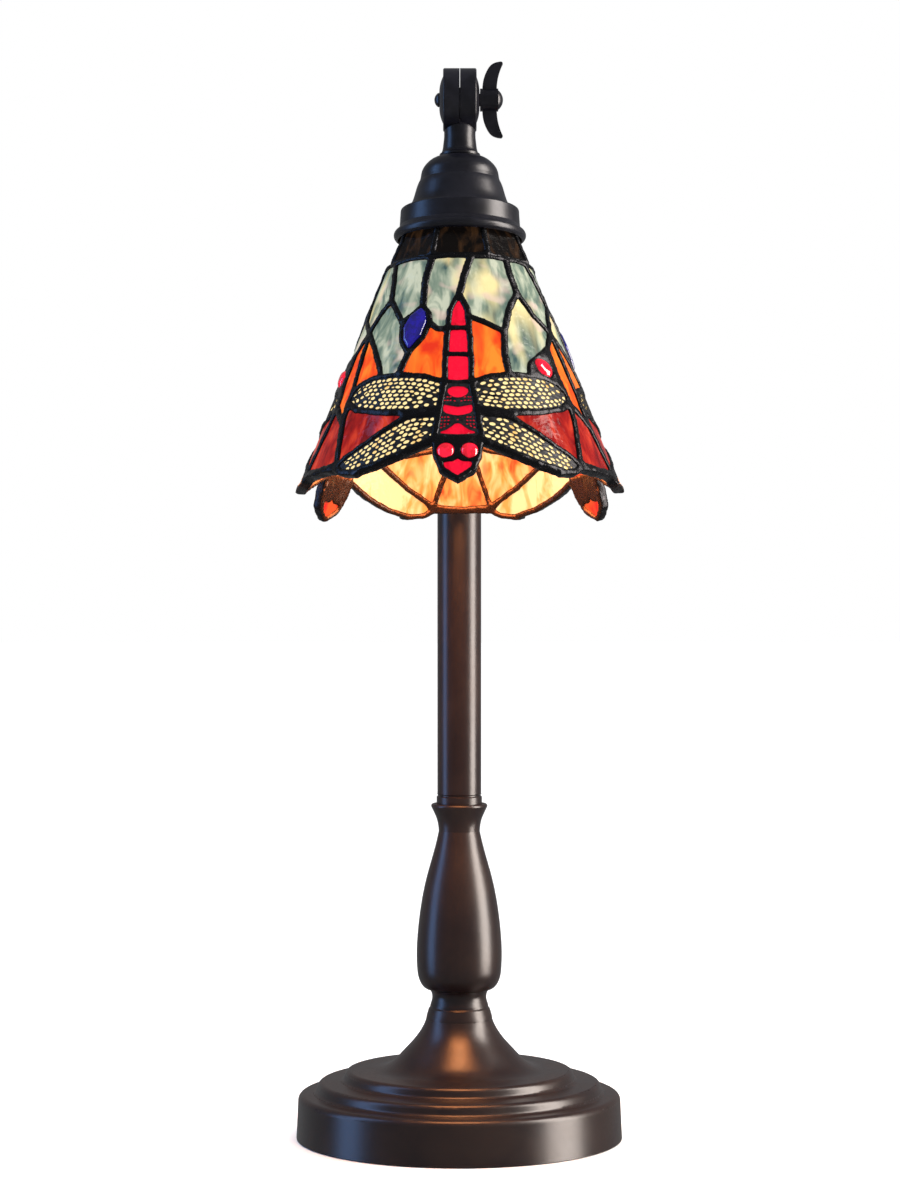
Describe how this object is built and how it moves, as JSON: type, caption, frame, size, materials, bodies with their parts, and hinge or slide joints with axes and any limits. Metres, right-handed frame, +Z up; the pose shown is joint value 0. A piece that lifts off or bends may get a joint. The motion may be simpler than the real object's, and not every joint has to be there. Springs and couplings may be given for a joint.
{
  "type": "table lamp",
  "caption": "Stained glass table lamp: weighted round foot, turned column, curved arm and a tilting head with a conical dragonfly shade.",
  "frame": {"origin": "centre of the underside of the pad that the lamp stands on", "axes": "+Z up, -Y the front of the lamp, towards which the arm reaches, +X the side of the wing nut"},
  "size_m": [0.165, 0.2894, 0.5331],
  "materials": {
    "black_filigree": "pierced brass sheet, black patina",
    "black_phenolic": "moulded phenolic",
    "black_plastic": "moulded",
    "bulb_cap_metal": "rolled thread",
    "bulb_frosted_glass": "inside frosted, lit warm white",
    "bulb_stem_glass": "clear stem with its filament",
    "cast_iron_weight": "as cast",
    "cobalt_jewel": "pressed glass jewel",
    "cream_wing_glass": "cream opalescent sheet",
    "crimson_glass": "deep red streaky sheet",
    "dark_bronze": "satin oil-rubbed bronze over steel and zinc",
    "felt_pad": "pressed felt",
    "fibre_disc": "vulcanised fibre",
    "opalescent_sky_glass": "wispy grey-green, cream and pale blue opalescent sheet",
    "patinated_solder": "lead-free solder on copper foil, black patina",
    "plain_brass": "plain",
    "ruby_body_glass": "bright ruby sheet",
    "ruby_jewel": "pressed glass cabochon",
    "smoky_crown_glass": "dark smoky streaky sheet",
    "streaky_orange_glass": "streaky orange and amber sheet",
    "zinc_steel": "zinc plated"
  },
  "bodies": {
    "stand": {"arm_ferrule": "dark_bronze", "arm_tube": "dark_bronze", "baluster": "dark_bronze", "base_pad": "felt_pad", "base_plate": "zinc_steel", "base_shell": "dark_bronze", "base_weight": "cast_iron_weight", "bolt_side_plate": "dark_bronze", "collar_ring": "dark_bronze", "column_rod": "zinc_steel", "cord_inlet_bush": "black_plastic", "friction_disc": "fibre_disc", "inner_wire": "black_plastic", "knuckle_fixed_half": "dark_bronze", "neck_ring": "dark_bronze", "pivot_bolt": "dark_bronze", "rod_bottom_nut": "zinc_steel", "rod_lock_washer": "zinc_steel", "stem_cap": "dark_bronze", "stem_tube": "dark_bronze"},
    "head": {"blue_jewels": "cobalt_jewel", "bulb_cap": "bulb_cap_metal", "bulb_glass": "bulb_frosted_glass", "bulb_stem": "bulb_stem_glass", "centre_contact": "plain_brass", "crown_came": "patinated_solder", "crown_glass": "smoky_crown_glass", "crown_plate": "plain_brass", "fitter_cup": "dark_bronze", "front_body_glass": "ruby_body_glass", "front_crimson_glass": "crimson_glass", "front_filigree": "black_filigree", "front_orange_glass": "streaky_orange_glass", "front_sky_glass": "opalescent_sky_glass", "front_wing_glass": "cream_wing_glass", "knuckle_moving_half": "dark_bronze", "lampholder_body": "black_phenolic", "lampholder_cap": "black_phenolic", "lampholder_insulator": "black_phenolic", "left_body_glass": "ruby_body_glass", "left_crimson_glass": "crimson_glass", "left_filigree": "black_filigree", "left_orange_glass": "streaky_orange_glass", "left_sky_glass": "opalescent_sky_glass", "left_wing_glass": "cream_wing_glass", "neck_collar": "dark_bronze", "nipple_nut": "zinc_steel", "nut_side_plate": "dark_bronze", "red_cabochons": "ruby_jewel", "right_body_glass": "ruby_body_glass", "right_crimson_glass": "crimson_glass", "right_filigree": "black_filigree", "right_orange_glass": "streaky_orange_glass", "right_sky_glass": "opalescent_sky_glass", "right_wing_glass": "cream_wing_glass", "screw_shell": "plain_brass", "shade_came": "patinated_solder", "shade_ring": "black_phenolic", "socket_nipple": "zinc_steel"},
    "wing_nut": {"wing_nut": "dark_bronze"}
  },
  "joints": [
    {"name": "head_tilt", "type": "hinge", "parent": "stand", "child": "head", "pos_m": [0, -0.0952, 0.5148], "axis": [-1, 0, 0], "range_deg": [-10, 90]},
    {"name": "wing_nut_turn", "type": "hinge", "parent": "stand", "child": "wing_nut", "pos_m": [0, -0.0952, 0.5148], "axis": [1, 0, 0], "range_deg": [0, 360]}
  ]
}
